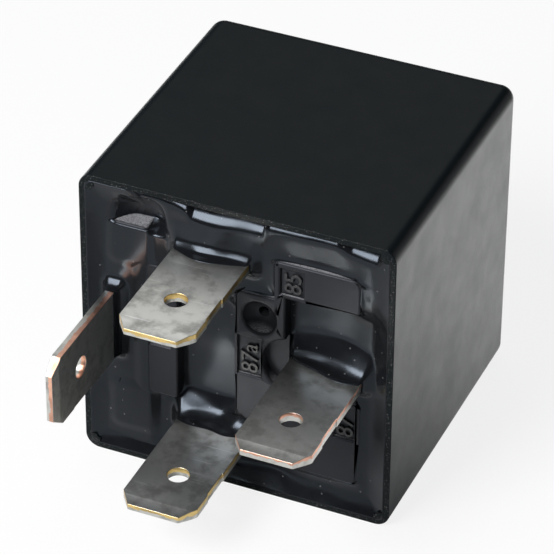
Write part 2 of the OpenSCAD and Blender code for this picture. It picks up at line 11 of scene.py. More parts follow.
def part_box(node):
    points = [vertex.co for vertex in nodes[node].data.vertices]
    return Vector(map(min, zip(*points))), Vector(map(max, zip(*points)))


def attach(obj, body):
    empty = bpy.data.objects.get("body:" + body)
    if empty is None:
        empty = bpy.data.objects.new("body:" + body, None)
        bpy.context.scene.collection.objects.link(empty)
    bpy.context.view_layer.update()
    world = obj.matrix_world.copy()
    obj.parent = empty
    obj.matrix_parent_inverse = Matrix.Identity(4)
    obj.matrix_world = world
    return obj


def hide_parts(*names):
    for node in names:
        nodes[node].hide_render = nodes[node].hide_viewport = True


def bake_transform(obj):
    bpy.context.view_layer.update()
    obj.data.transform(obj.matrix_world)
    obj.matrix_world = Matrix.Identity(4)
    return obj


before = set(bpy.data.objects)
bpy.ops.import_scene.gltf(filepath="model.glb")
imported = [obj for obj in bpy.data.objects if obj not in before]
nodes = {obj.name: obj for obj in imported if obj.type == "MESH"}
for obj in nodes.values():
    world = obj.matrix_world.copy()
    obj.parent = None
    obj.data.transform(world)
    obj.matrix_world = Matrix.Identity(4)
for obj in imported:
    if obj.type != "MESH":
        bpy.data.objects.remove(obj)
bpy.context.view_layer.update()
MM = 0.001


# ---------------------------------------------------------------- Camera
# A long lens looks down on the terminal face from the front right, level but for half a degree.
camera_lens_mm = 230.0
camera_distance = 284.3 * MM
camera_aim = Vector((-1.12, 3.43, 13.13)) * MM
camera_azimuth = math.radians(23.28)
camera_elevation = math.radians(35.42)
camera_roll = math.radians(0.45)

camera_turn = (
    Euler((math.pi / 2 - camera_elevation, 0, camera_azimuth), "XYZ").to_matrix()
    @ Matrix.Rotation(camera_roll, 3, "Z")
)
camera_data = bpy.data.cameras.new("camera")
camera_data.lens = camera_lens_mm
camera_data.sensor_width = 36.0
camera_data.clip_end = 20.0
camera = bpy.data.objects.new("camera", camera_data)
camera.matrix_world = Matrix.Translation(
    camera_aim + camera_turn @ Vector((0, 0, camera_distance))
) @ camera_turn.to_4x4()
bpy.context.scene.collection.objects.link(camera)
bpy.context.scene.camera = camera
bpy.context.scene.view_settings.view_transform = "Standard"


# ---------------------------------------------------------------- Base
# The plate that closes the cover: moulded black nylon with raised pads, eroded pad walls, a
# vent dimple and the terminal numbers standing in sunk fields. Its sunk walls that face up are
# painted lighter: their eroded grain, and painted light where light falls on them.
rim_y = float(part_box("cover")[0][1])
mid_z = 0.5 * float(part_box("cover")[0][2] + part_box("cover")[1][2])
pad_face_y = rim_y + 0.4 * MM
pad_edge_radius = 0.2 * MM
flat_area = 0.3 * MM * MM      # a face larger than this is shaded flat


def add(tree, kind, **inputs):
    """Adds one shader node, sets its attributes and its inputs, and links where a socket is given."""
    made = tree.nodes.new(kind)
    for name, value in inputs.items():
        if hasattr(made, name):
            setattr(made, name, value)
            continue
        socket = made.inputs[int(name[1:])] if name[1:].isdigit() else made.inputs[name.replace("_", " ")]
        if isinstance(value, bpy.types.NodeSocket):
            tree.links.new(value, socket)
        else:
            socket.default_value = value
    return made


def new_material(name):
    """An empty material with a Principled shader wired to its output."""
    made = bpy.data.materials.new(name)
    made.use_nodes = True
    made.node_tree.nodes.clear()
    shader = made.node_tree.nodes.new("ShaderNodeBsdfPrincipled")
    output = made.node_tree.nodes.new("ShaderNodeOutputMaterial")
    made.node_tree.links.new(shader.outputs[0], output.inputs[0])
    return made, made.node_tree, shader


def ramp(tree, value, low, high, start=0.0, end=1.0):
    """Maps a value from low..high to start..end, smoothly and clamped."""
    made = add(
        tree, "ShaderNodeMapRange", interpolation_type="SMOOTHSTEP",
        i0=value, i1=low, i2=high, i3=start, i4=end
    )
    return made.outputs[0]


def math_node(tree, operation, a, b=0.0):
    """One arithmetic node with two inputs."""
    return add(tree, "ShaderNodeMath", operation=operation, i0=a, i1=b).outputs[0]


def mix_color(tree, factor, a, b):
    """Mixes two colours, given as sockets or as tuples of three."""
    made = add(tree, "ShaderNodeMix", data_type="RGBA", i0=factor)
    for socket, value in ((made.inputs[6], a), (made.inputs[7], b)):
        if isinstance(value, bpy.types.NodeSocket):
            tree.links.new(value, socket)
        else:
            socket.default_value = (*value, 1)
    return made.outputs[2]


def place_piece(piece, body, slot, *replaced):
    """Links a new piece, lets it ride on its body and hides the nodes it stands for. The slot is not used."""
    bpy.context.scene.collection.objects.link(piece)
    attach(piece, body)
    if replaced:
        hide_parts(*replaced)
    return piece


def softened(node, name, radius, picks=None, segments=3, whole_faces=False):
    """A merged copy of a CAD node with its sharp edges rounded. picks says which edges, by their two
    ends; without it every edge sharper than 25 degrees is rounded. whole_faces joins flat triangles."""
    shape = bmesh.new()
    shape.from_mesh(nodes[node].data)
    bmesh.ops.remove_doubles(shape, verts=shape.verts, dist=2e-7)
    if whole_faces:
        bmesh.ops.dissolve_limit(shape, angle_limit=math.radians(0.4), verts=shape.verts, edges=shape.edges)
    weights = shape.edges.layers.float.new("bevel_weight_edge")
    for edge in shape.edges:
        sharp = edge.is_manifold and edge.calc_face_angle(0.0) > math.radians(25)
        edge[weights] = 1.0 if sharp and (picks is None or picks(*(v.co for v in edge.verts))) else 0.0
        edge.smooth = not sharp or edge[weights] > 0
    mesh = bpy.data.meshes.new(name)
    shape.to_mesh(mesh)
    shape.free()
    areas = np.empty(len(mesh.polygons))
    mesh.polygons.foreach_get("area", areas)
    mesh.polygons.foreach_set("use_smooth", areas < flat_area)
    made = bpy.data.objects.new(name, mesh)
    bevel = made.modifiers.new("rounded_edges", "BEVEL")
    bevel.limit_method = "WEIGHT"
    bevel.width = radius
    bevel.segments = segments
    bevel.use_clamp_overlap = False
    bevel.harden_normals = True
    return made


def noise_group():
    """Node group "moulded_grain": fine height noise and a slow mottle, from Object coordinates."""
    group = bpy.data.node_groups.new("moulded_grain", "ShaderNodeTree")
    group.interface.new_socket("Grain per metre", in_out="INPUT", socket_type="NodeSocketFloat")
    group.interface.new_socket("Height", in_out="OUTPUT", socket_type="NodeSocketFloat")
    group.interface.new_socket("Mottle", in_out="OUTPUT", socket_type="NodeSocketFloat")
    start, end = group.nodes.new("NodeGroupInput"), group.nodes.new("NodeGroupOutput")
    place = add(group, "ShaderNodeTexCoord").outputs["Object"]
    fine = add(group, "ShaderNodeTexNoise", Vector=place, Scale=start.outputs[0], Detail=4.0, Roughness=0.6)
    slow = add(group, "ShaderNodeTexNoise", Vector=place, Scale=420.0, Detail=3.0, Roughness=0.55)
    group.links.new(fine.outputs["Fac"], end.inputs[0])
    group.links.new(slow.outputs["Fac"], end.inputs[1])
    return group


moulded_grain = noise_group()


def grain_nodes(tree, per_metre):
    """Places the grain group and returns its height and mottle."""
    made = add(tree, "ShaderNodeGroup", node_tree=moulded_grain)
    made.inputs[0].default_value = per_metre
    return made.outputs[0], made.outputs[1]


def on_pad_face(a, b):
    """True for an edge that lies in the plane of the pads' faces."""
    return abs(a.y - pad_face_y) < 2e-6 and abs(b.y - pad_face_y) < 2e-6


base_plastic, tree, shader = new_material("base_plastic")
grain, mottle = grain_nodes(tree, 9000.0)
geometry = add(tree, "ShaderNodeNewGeometry")
place = add(tree, "ShaderNodeTexCoord").outputs["Object"]
facing_up = add(tree, "ShaderNodeSeparateXYZ", i0=geometry.outputs["Normal"]).outputs[2]
depth = add(tree, "ShaderNodeSeparateXYZ", i0=place).outputs[1]
sunk = ramp(tree, depth, pad_face_y + 0.10 * MM, pad_face_y + 0.25 * MM)
# Sunk walls that face up are painted lighter and speckled: eroded grain, and painted light for the light they
# catch.
eroded_and_lit = math_node(tree, "MULTIPLY", ramp(tree, facing_up, 0.5, 0.95), sunk)
specks = add(tree, "ShaderNodeTexNoise", Vector=place, Scale=14000.0, Detail=2.0).outputs["Fac"]
wall_grain_and_light = mix_color(tree, ramp(tree, specks, 0.35, 0.65), (0.08, 0.08, 0.085), (0.32, 0.32, 0.34))
plain_color = mix_color(tree, mottle, (0.010, 0.010, 0.012), (0.017, 0.017, 0.019))
tree.links.new(mix_color(tree, eroded_and_lit, plain_color, wall_grain_and_light), shader.inputs["Base Color"])
rough = add(tree, "ShaderNodeMapRange", i0=mottle, i1=0.3, i2=0.7, i3=0.36, i4=0.48).outputs[0]
rough = math_node(tree, "ADD", rough, math_node(tree, "MULTIPLY", eroded_and_lit, 0.3))
tree.links.new(rough, shader.inputs["Roughness"])
shader.inputs["Specular IOR Level"].default_value = 0.27
shader.inputs["Specular Tint"].default_value = (0.70, 0.75, 0.86, 1)
bump = add(tree, "ShaderNodeBump", Height=grain, Strength=0.35, Distance=0.012 * MM)
tree.links.new(bump.outputs[0], shader.inputs["Normal"])

moulded_base = softened("base", "moulded_base", pad_edge_radius, on_pad_face)
base = place_piece(moulded_base, "housing", "black_plastic", "base")
base.data.materials.append(base_plastic)

# The numbers stand 0.16 mm proud of their fields' floors and read along +Z.
number_height = 1.42 * MM
number_floor = pad_face_y + 0.3 * MM
half_number_depth = 0.08 * MM


def raised_number(name, words, x, z):
    """A terminal number as a mesh: extruded letters with rounded edges, their feet at x, their start at z."""
    curve = bpy.data.curves.new(name, "FONT")
    curve.body = words
    curve.size = number_height / 0.70
    curve.extrude = half_number_depth
    curve.bevel_depth = 0.035 * MM
    curve.bevel_resolution = 2
    curve.offset = -0.015 * MM
    curve.space_character = 0.96
    curve.resolution_u = 6
    text = bpy.data.objects.new(name, curve)
    bpy.context.scene.collection.objects.link(text)
    mesh = bpy.data.meshes.new_from_object(text.evaluated_get(bpy.context.evaluated_depsgraph_get()))
    bpy.data.objects.remove(text)
    turn = Matrix(((0, -1, 0), (0, 0, -1), (1, 0, 0))).to_4x4()
    mesh.transform(Matrix.Translation((x, number_floor - half_number_depth, z)) @ turn)
    mesh.name = name
    made = place_piece(bpy.data.objects.new(name, mesh), "housing", "black_plastic")
    made.data.materials.clear()
    made.data.materials.append(number_plastic)
    return made


number_plastic, tree, shader = new_material("number_plastic")
shader.inputs["Base Color"].default_value = (0.012, 0.012, 0.014, 1)
shader.inputs["Roughness"].default_value = 0.4
for number, x, z in (
    ("85", 5.32, 19.78), ("87a", 1.70, 11.27), ("87", 9.82, 7.45), ("30", -6.1, 11.75), ("86", 6.2, 4.3)
):
    raised_number("number_" + number, number, x * MM, z * MM)


# ---------------------------------------------------------------- Terminals
# Flat tabs blanked from tinned strip: 85 and 86 are brass, 30 and 87 are copper. The blanking
# shears the edges, so the bare metal shows on the side of the cut that broke away.
def blade_heights():
    """Node group "rolled_face": scratches, rolling lines and blotches of a handled tinned face."""
    group = bpy.data.node_groups.new("rolled_face", "ShaderNodeTree")
    group.interface.new_socket("Along", in_out="INPUT", socket_type="NodeSocketVector")
    group.interface.new_socket("Scratches", in_out="OUTPUT", socket_type="NodeSocketFloat")
    group.interface.new_socket("Rolling", in_out="OUTPUT", socket_type="NodeSocketFloat")
    group.interface.new_socket("Blotches", in_out="OUTPUT", socket_type="NodeSocketFloat")
    start, end = group.nodes.new("NodeGroupInput"), group.nodes.new("NodeGroupOutput")
    along = start.outputs[0]
    fine = add(group, "ShaderNodeMapping", vector_type="POINT", Vector=along)
    fine.inputs["Scale"].default_value = (500.0, 9000.0, 500.0)
    rolling = add(group, "ShaderNodeTexNoise", Vector=fine.outputs[0], Scale=1.0, Detail=4.0, Roughness=0.65)
    turned = add(group, "ShaderNodeMapping", vector_type="POINT", Vector=along)
    turned.inputs["Rotation"].default_value = (0.0, 0.0, 0.35)
    turned.inputs["Scale"].default_value = (260.0, 5200.0, 260.0)
    long_lines = add(group, "ShaderNodeTexNoise", Vector=turned.outputs[0], Scale=1.0, Detail=2.0,
                     Roughness=0.5)
    scratches = ramp(group, long_lines.outputs["Fac"], 0.66, 0.74)
    blotch = add(group, "ShaderNodeTexNoise", Vector=along, Scale=650.0, Detail=5.0, Roughness=0.6)
    group.links.new(scratches, end.inputs[0])
    group.links.new(rolling.outputs["Fac"], end.inputs[1])
    group.links.new(blotch.outputs["Fac"], end.inputs[2])
    return group


rolled_face = blade_heights()


def tinned_strip(name, metal, dark_metal, thick_axis, thick_middle, upper, tilt, tin=(0.60, 0.595, 0.565)):
    """Tinned strip. On its sheared edges the bare metal shows beyond `upper` of the thickness axis.
    tilt lists (distance from the tip in mm, slope) and bends the face's normal along the blade."""
    made, tree, shader = new_material(name)
    place = add(tree, "ShaderNodeTexCoord").outputs["Object"]
    group = add(tree, "ShaderNodeGroup", node_tree=rolled_face, Along=place)
    scratches, rolling, blotches = group.outputs[0], group.outputs[1], group.outputs[2]
    normal = add(tree, "ShaderNodeSeparateXYZ", i0=add(tree, "ShaderNodeNewGeometry").outputs["True Normal"])
    flat = math_node(tree, "ABSOLUTE", normal.outputs[thick_axis])
    edge = ramp(tree, flat, 0.55, 0.35)
    across = add(tree, "ShaderNodeSeparateXYZ", i0=place).outputs[thick_axis]
    waver = add(tree, "ShaderNodeTexNoise", Vector=place, Scale=1800.0, Detail=3.0).outputs["Fac"]
    waver = math_node(tree, "MULTIPLY", math_node(tree, "SUBTRACT", waver, 0.5), 0.5 * MM)
    wavy = math_node(tree, "ADD", across, waver)
    level = thick_middle * MM
    bare = ramp(tree, wavy, level + (upper - 0.03) * MM, level + (upper + 0.03) * MM)
    bare = math_node(tree, "MULTIPLY", bare, edge)
    metal_tone = mix_color(tree, ramp(tree, blotches, 0.35, 0.65), dark_metal, metal)
    dull = tuple(0.55 * c for c in tin)
    tin_tone = mix_color(tree, ramp(tree, blotches, 0.42, 0.70), tin, dull)
    tin_tone = mix_color(tree, math_node(tree, "MULTIPLY", scratches, 0.5), tin_tone, (0.85, 0.85, 0.83))
    tree.links.new(mix_color(tree, bare, tin_tone, metal_tone), shader.inputs["Base Color"])
    shader.inputs["Metallic"].default_value = 1.0
    rough = add(tree, "ShaderNodeMapRange", i0=blotches, i1=0.3, i2=0.7, i3=0.36, i4=0.52).outputs[0]
    rough = math_node(tree, "SUBTRACT", rough, math_node(tree, "MULTIPLY", rolling, 0.08))
    tree.links.new(rough, shader.inputs["Roughness"])
    tip_y = float(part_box("terminal_85")[0][1])
    reach = 12.5
    along = add(tree, "ShaderNodeSeparateXYZ", i0=place).outputs[1]
    fraction = add(tree, "ShaderNodeMapRange", i0=along, i1=tip_y, i2=tip_y + reach * MM, i3=0.0, i4=1.0)
    curve = add(tree, "ShaderNodeFloatCurve", i0=1.0, i1=fraction.outputs[0])
    points = curve.mapping.curves[0].points
    height, last = 0.5, 0.0
    knots = [(0.0, 0.5)]
    for distance, slope in tilt:
        height += slope * (distance - last) / 4.0
        last = distance
        knots.append((distance / reach, height))
    points[0].location, points[1].location = knots[0], knots[-1]
    for knot in knots[1:-1]:
        points.new(*knot)
    curve.mapping.update()
    side = add(tree, "ShaderNodeBump", Height=curve.outputs[0], Strength=1.0, Distance=4.0 * MM)
    lines = add(tree, "ShaderNodeBump", Height=rolling, Strength=0.25, Distance=0.01 * MM,
                Normal=side.outputs[0])
    marks = add(
        tree, "ShaderNodeBump", Height=scratches, Strength=0.4, Distance=-0.006 * MM, Normal=lines.outputs[0]
    )
    tree.links.new(marks.outputs[0], shader.inputs["Normal"])
    return made


brass, dark_brass = (0.78, 0.58, 0.24), (0.50, 0.36, 0.15)
copper, dark_copper = (0.86, 0.50, 0.36), (0.55, 0.30, 0.22)
blade_finish = {
    "terminal_85": tinned_strip("tinned_brass_85", brass, dark_brass, 2, 21.65, -0.05,
                                [(0.9, -0.12), (1.1, 0.0), (9.0, 0.0), (10.0, 0.1), (12.5, 0.1)]),
    "terminal_86": tinned_strip("tinned_brass_86", brass, dark_brass, 2, 4.85, 0.0,
                                [(0.9, -0.12), (1.1, 0.0), (9.0, 0.0), (10.0, 0.1), (12.5, 0.1)]),
    "terminal_87": tinned_strip("tinned_copper_87", copper, dark_copper, 2, 13.25, 0.1,
                                [(0.9, -0.12), (1.1, 0.0), (9.0, 0.0), (12.5, 0.0)]),
    "terminal_30": tinned_strip("tinned_copper_30", copper, dark_copper, 0, -10.5, 0.0,
                                [(0.9, 0.0), (8, 0.0), (12.5, 0.0)]),
}
for terminal, finish in blade_finish.items():
    metal_slot = "tinned_brass" if terminal in ("terminal_85", "terminal_86") else "tinned_copper"
    strip = softened(terminal, terminal + "_strip", 0.05 * MM, segments=2, whole_faces=True)
    blade = place_piece(strip, "housing", metal_slot, terminal)
    blade.data.materials.append(finish)


# ---------------------------------------------------------------- Cover
# Moulded black nylon cap. Its faces are satin from a finely eroded mould, and its rim carries a
# little flash, painted as light flecks that also stand in for glints along its edge.
def on_rim(a, b):
    """True for an edge of the rim's outline."""
    outer = max(abs(a.x), abs(a.z - mid_z), abs(b.x), abs(b.z - mid_z)) > 12.9 * MM
    return abs(a.y - rim_y) < 2e-6 and abs(b.y - rim_y) < 2e-6 and outer


cover_plastic, tree, shader = new_material("cover_plastic")
grain, mottle = grain_nodes(tree, 7000.0)
place = add(tree, "ShaderNodeTexCoord").outputs["Object"]
body_tone = mix_color(tree, mottle, (0.0010, 0.0028, 0.0036), (0.0018, 0.0038, 0.0050))
rough = add(tree, "ShaderNodeMapRange", i0=mottle, i1=0.3, i2=0.7, i3=0.38, i4=0.44).outputs[0]
tree.links.new(rough, shader.inputs["Roughness"])
shader.inputs["Specular IOR Level"].default_value = 0.12
bump = add(tree, "ShaderNodeBump", Height=grain, Strength=0.45, Distance=0.02 * MM)
depth = add(tree, "ShaderNodeSeparateXYZ", i0=place).outputs[1]
land = ramp(tree, depth, rim_y + 0.12 * MM, rim_y + 0.02 * MM)
flash_noise = add(tree, "ShaderNodeTexNoise", Vector=place, Scale=2600.0, Detail=5.0, Roughness=0.75)
rough_land = add(tree, "ShaderNodeBump", Height=math_node(tree, "MULTIPLY", flash_noise.outputs["Fac"], land), Strength=0.4,
                 Distance=0.08 * MM, Normal=bump.outputs[0])
# Light flecks on the rim's land: flash, and painted glints where its edge catches the light.
flash_glint_flecks = add(tree, "ShaderNodeTexNoise", Vector=place, Scale=9000.0, Detail=2.0).outputs["Fac"]
flash_and_glints = math_node(tree, "MULTIPLY", ramp(tree, flash_glint_flecks, 0.62, 0.70), land)
tree.links.new(mix_color(tree, flash_and_glints, body_tone, (0.14, 0.14, 0.14)), shader.inputs["Base Color"])
tree.links.new(rough_land.outputs[0], shader.inputs["Normal"])

cover = place_piece(softened("cover", "cover_shell", 0.10 * MM, on_rim), "housing", "black_plastic", "cover")
cover.data.materials.append(cover_plastic)


# ---------------------------------------------------------------- Mechanism
# Zinc-plated iron, enamelled wire, nylon and silver behind the base, unseen until the cover is off.
def plain_finish(name, color, other, rough, metal, per_metre=5000.0, relief=0.3):
    """A finish of two near tones that mottle into each other, under a fine grain."""
    made, tree, shader = new_material(name)
    height, mottle = grain_nodes(tree, per_metre)
    tree.links.new(mix_color(tree, ramp(tree, mottle, 0.3, 0.7), color, other), shader.inputs["Base Color"])
    shader.inputs["Metallic"].default_value = metal
    spread = add(tree, "ShaderNodeMapRange", i0=mottle, i1=0.3, i2=0.7, i3=rough - 0.06, i4=rough + 0.06)
    tree.links.new(spread.outputs[0], shader.inputs["Roughness"])
    bump = add(tree, "ShaderNodeBump", Height=height, Strength=relief, Distance=0.01 * MM)
    tree.links.new(bump.outputs[0], shader.inputs["Normal"])
    return made


def paint(node, material):
    """Gives a CAD node its material."""
    nodes[node].data.materials.clear()
    nodes[node].data.materials.append(material)


zinc_plate = plain_finish("zinc_plate", (0.60, 0.61, 0.62), (0.48, 0.49, 0.52), 0.36, 1.0)
soft_iron = plain_finish("soft_iron", (0.50, 0.49, 0.47), (0.40, 0.39, 0.38), 0.42, 1.0)
paint("yoke", zinc_plate)
paint("armature", zinc_plate)
paint("core", soft_iron)
paint("armature_stop", zinc_plate)
paint("bobbin", plain_finish("natural_nylon", (0.72, 0.66, 0.52), (0.66, 0.60, 0.46), 0.5, 0.0))
solder = plain_finish("solder", (0.66, 0.66, 0.67), (0.55, 0.55, 0.57), 0.28, 1.0)
paint("solder_joint_85", solder)
paint("solder_joint_86", solder)
silver = plain_finish("silver_contact", (0.88, 0.87, 0.84), (0.80, 0.78, 0.73), 0.3, 1.0)
paint("moving_contact", silver)
paint("fixed_contact", silver)
rivet_brass = plain_finish("rivet_brass", (0.76, 0.60, 0.32), (0.64, 0.48, 0.24), 0.34, 1.0)
paint("armature_rivets", rivet_brass)
paint("spring_rivets", rivet_brass)

# The winding's turns are wound side by side along the coil's axis.
wire_pitch = 0.28 * MM
enamelled_wire, tree, shader = new_material("enamelled_wire")
place = add(tree, "ShaderNodeTexCoord").outputs["Object"]
along = add(tree, "ShaderNodeSeparateXYZ", i0=place).outputs[1]
turns = add(tree, "ShaderNodeMath", operation="PINGPONG", i0=along, i1=wire_pitch / 2).outputs[0]
# The colour is painted darker towards the grooves between the turns: painted shade.
turn_relief_and_shade = ramp(tree, turns, 0.0, wire_pitch / 2)
tree.links.new(mix_color(tree, turn_relief_and_shade, (0.20, 0.05, 0.02), (0.62, 0.24, 0.10)), shader.inputs["Base Color"])
shader.inputs["Metallic"].default_value = 0.6
shader.inputs["Roughness"].default_value = 0.3
bump = add(tree, "ShaderNodeBump", Height=turn_relief_and_shade, Strength=0.8, Distance=0.1 * MM)
tree.links.new(bump.outputs[0], shader.inputs["Normal"])
paint("coil_winding", enamelled_wire)

# The contact spring bends over the hinge between the yoke and the armature.
spring = softened("contact_spring", "contact_spring_strip", 0.02 * MM, segments=1)
bpy.context.scene.collection.objects.link(spring)
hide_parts("contact_spring")
spring.data.materials.append(plain_finish("spring_bronze", (0.75, 0.48, 0.28), (0.62, 0.38, 0.21), 0.32, 1.0))
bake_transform(spring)


# ---------------------------------------------------------------- Sealing resin
# Black epoxy, poured round the pads and the terminals. It wets the cover and the blades and
# climbs them in concave rises.
resin_half = 12.74
resin_middle = 13.25
resin_corner = 0.45
land_overlap = 0.012
resin_cells = 256
resin_levels = np.array([  # x, z, depth
    (-11.6, 24.6, 0.35), (-9.9, 24.0, 0.45), (-8.0, 23.9, 0.50), (-6.6, 23.2, 0.45), (-6.9, 20.6, 0.50),
    (-2.0, 24.4, 0.20), (1.6, 20.4, 0.60), (4.0, 24.2, 0.40), (7.0, 24.2, 0.45), (10.2, 24.0, 0.40),
    (11.3, 21.0, 0.55), (11.4, 16.0, 0.80), (11.5, 11.0, 0.60), (11.4, 6.0, 0.55), (11.2, 2.0, 0.60),
    (7.5, 17.6, 1.90), (5.0, 17.0, 1.90), (9.6, 17.2, 1.70), (6.0, 1.9, 0.65), (0.0, 1.9, 0.80),
    (-6.0, 1.7, 0.75), (-11.0, 1.8, 0.60), (-11.7, 8.0, 0.55), (-11.7, 14.0, 0.55), (-11.7, 20.0, 0.50),
    (-9.3, 9.0, 0.50), (-9.3, 14.0, 0.60), (-11.6, 4.0, 0.50), (-9.0, 1.9, 0.60),
    (-2.6, 10.0, 1.95), (-3.6, 8.0, 1.90), (-2.5, 14.0, 1.60),
    (-7.2, 4.8, 1.15), (-5.6, 4.0, 0.80), (2.2, 4.0, 1.10), (0.8, 22.0, 0.55),
])
pad_edges = [
    (3.05, 19.4, 10.25, 22.55), (-0.2, 6.6, 4.05, 19.0), (3.05, 10.45, 4.05, 22.55),
    (-8.25, 6.8, -5.15, 19.3),
    (-10.6, 19.15, -7.6, 22.55), (-10.6, 3.05, -7.7, 6.7), (4.0, 2.95, 10.25, 11.4),
]
top_bank = np.array([  # x, how far below the land the bank at the top wall reaches
    (-12.8, 0.0), (-9.2, 0.0), (-7.6, 0.50), (-5.2, 0.60), (-4.2, 0.90), (-3.8, 1.40), (2.10, 1.40),
    (2.25, 0.50),
    (2.6, 0.75), (6.5, 0.65), (8.2, 0.70), (9.3, 1.20), (11.6, 1.35), (12.3, 0.30), (12.8, 0.0),
])
resin_dips = [  # x, half length along x, the pad's wall, end of the slope, how much deeper at the wall
    (-8.35, 1.9, 22.6, 25.4, 1.80),
    (6.5, 3.3, 22.6, 25.2, 0.60),
]
blade_feet = [  # x, z, half length along x, half length along z, slope, reach up, reach round
    (-1.9, 21.65, 3.05, 0.40, 0.32, 2.2, 1.1),
    (7.6, 13.25, 3.05, 0.40, 0.45, 2.4, 1.2),
    (-1.9, 4.85, 3.05, 0.40, 0.45, 2.2, 1.2),
    (-10.5, 13.25, 0.40, 3.05, 0.50, 1.0, 0.9),
]


def box_distance(x, z, left, low, right, high, corner=0.35):
    """Distance outside a rectangle with round corners, negative inside it."""
    dx = np.abs(x - (left + right) / 2) - (right - left) / 2 + corner
    dz = np.abs(z - (low + high) / 2) - (high - low) / 2 + corner
    return np.hypot(np.maximum(dx, 0), np.maximum(dz, 0)) + np.minimum(np.maximum(dx, dz), 0) - corner


def slope_end(distance, reach, softness):
    """A straight slope of one that ends softly at its reach: softness * log(1 + exp(...))."""
    return softness * np.logaddexp(0, (reach - distance) / softness)


def resin_depth(x, z):
    """Depth of the resin behind the rim, in mm: level - rise + trench. The level is a mean of the
    poured levels weighted by exp(-r^2 / 4.5), and deeper at the dips. The rise is the cubic norm
    of the wetting at the cover, the lips and skirts at the blades, which are soft straight slopes,
    and the pads' exp(-d / 0.25). The trench is the bank at the top wall. Over the pads the surface
    dives under their faces, but for a thin film over those at the left."""
    gap_x, gap_z = x[..., None] - resin_levels[:, 0], z[..., None] - resin_levels[:, 1]
    weight = np.exp(-(gap_x ** 2 + gap_z ** 2) / 4.5)
    level = (weight * resin_levels[:, 2]).sum(-1) / weight.sum(-1)
    level += 0.025 * np.sin(1.3 * x + 0.7 * z) * np.sin(0.9 * z - 0.5 * x + 1.0)
    for dip_x, reach, low, high, deeper in resin_dips:
        fall = np.clip((high - z) / (high - low), 0, 1)
        across = np.exp(-np.abs((x - dip_x) / reach) ** 4)
        level += deeper * fall * across * np.clip((z - low + 0.6) / 0.5, 0, 1)
    low, high = resin_middle - resin_half, resin_middle + resin_half
    sides = np.maximum(-box_distance(x, z, -resin_half, low, resin_half, high + 2, 0.9), 0)
    below_top = np.maximum(high - z, 0)
    crest = np.interp(x, top_bank[:, 0], top_bank[:, 1])
    wets = np.clip(1 - crest / 0.3, 0, 1)
    rim_rise = (level + land_overlap) * (
        np.maximum(1 - sides / 1.75, 0) ** 4.6 + wets * np.maximum(1 - below_top / 1.9, 0) ** 4.2
    ) ** (1 / 3)
    rim_rise = np.minimum(rim_rise, level + land_overlap)
    trench = 0.95 * slope_end(below_top, crest, 0.15) * (1 - wets)
    blade_rise = 0 * level
    for bx, bz, half_x, half_z, slope, up, around in blade_feet:
        dx = np.maximum(np.abs(x - bx) - half_x, 0) * up / around
        dz = np.maximum(z - bz - half_z, 0) + np.maximum(bz - half_z - z, 0) * up / around
        away = np.hypot(dx, dz)
        bulge = 1 - np.minimum(np.abs(x - bx) / half_x, 1) ** 2 * (half_x > half_z)
        lip = 0.65 * slope_end(away, 0.45 + 0.25 * bulge, 0.08)
        lip = lip + 2.5 * slope_end(away, 0.05 + 0.17 * bulge, 0.04)
        skirt = slope * slope_end(away, up * (0.86 + 0.14 * bulge), 0.2)
        blade_rise = np.maximum(blade_rise, lip + skirt)
    pad = np.min([box_distance(x, z, *edges) for edges in pad_edges], axis=0)
    pad_rise = np.minimum(level - 0.44, 0.22) * np.exp(-np.maximum(pad, 0) / 0.25)
    rise = (rim_rise ** 3 + blade_rise ** 3 + np.maximum(pad_rise, 0) ** 3) ** (1 / 3)
    surface = level - rise + trench
    under = 0.47 + 5.0 * np.maximum(-pad - 0.08, 0)
    bare = np.where(pad < 0, np.minimum(np.maximum(surface, under), 2.3), surface)
    edge = np.clip((pad + 0.1) / 1.0, 0, 1)
    filmed = np.minimum(surface, 0.37 + 0.12 * edge * edge * (3 - 2 * edge))
    film = np.clip((-6.9 - x) / 0.7, 0, 1) * np.clip((22.5 - z) / 0.15, 0, 1)
    return bare + film * (filmed - bare)


def resin_mesh():
    """The resin's surface on a square grid whose corners are drawn in to arcs, closed by a skirt
    that follows the cover's chamfer and wall down to the plate."""
    line = np.linspace(-1, 1, resin_cells + 1) * resin_half
    x, v = np.meshgrid(line, line, indexing="ij")
    inner = resin_half - resin_corner
    qx, qv = np.maximum(np.abs(x) - inner, 0), np.maximum(np.abs(v) - inner, 0)
    pull = np.where(np.hypot(qx, qv) > 0, np.maximum(qx, qv) / np.maximum(np.hypot(qx, qv), 1e-9), 1)
    x = np.sign(x) * (np.minimum(np.abs(x), inner) + qx * pull)
    v = np.sign(v) * (np.minimum(np.abs(v), inner) + qv * pull)
    depth = resin_depth(x, v + resin_middle)
    count = resin_cells + 1
    top = np.stack([x, depth, v], -1).reshape(-1, 3)
    number = np.arange(count * count).reshape(count, count)
    ring = np.concatenate([number[:-1, 0], number[-1, :-1], number[:0:-1, -1], number[0, :0:-1]])
    rings, last = [top], ring
    cells = np.stack([number[:-1, :-1], number[1:, :-1], number[1:, 1:], number[:-1, 1:]], -1)
    faces = [cells.reshape(-1, 4)]
    for half, down in ((12.24, 1.02), (12.24, 2.55)):
        start = sum(len(r) for r in rings)
        edge = top[ring].copy()
        edge[:, [0, 2]] *= half / resin_half
        edge[:, 1] = down
        rings.append(edge)
        now = start + np.arange(len(ring))
        faces.append(np.stack([last, now, np.roll(now, -1), np.roll(last, -1)], -1))
        last = now
    points = np.concatenate(rings)
    points = np.stack([points[:, 0] * MM, points[:, 1] * MM + rim_y, points[:, 2] * MM + mid_z], -1)
    mesh = bpy.data.meshes.new("poured_resin")
    mesh.from_pydata(points.tolist(), [], np.concatenate(faces).tolist() + [last[::-1].tolist()])
    mesh.polygons.foreach_set("use_smooth", [True] * len(mesh.polygons))
    shape = bmesh.new()
    shape.from_mesh(mesh)
    bmesh.ops.recalc_face_normals(shape, faces=shape.faces)
    shape.to_mesh(mesh)
    shape.free()
    return mesh


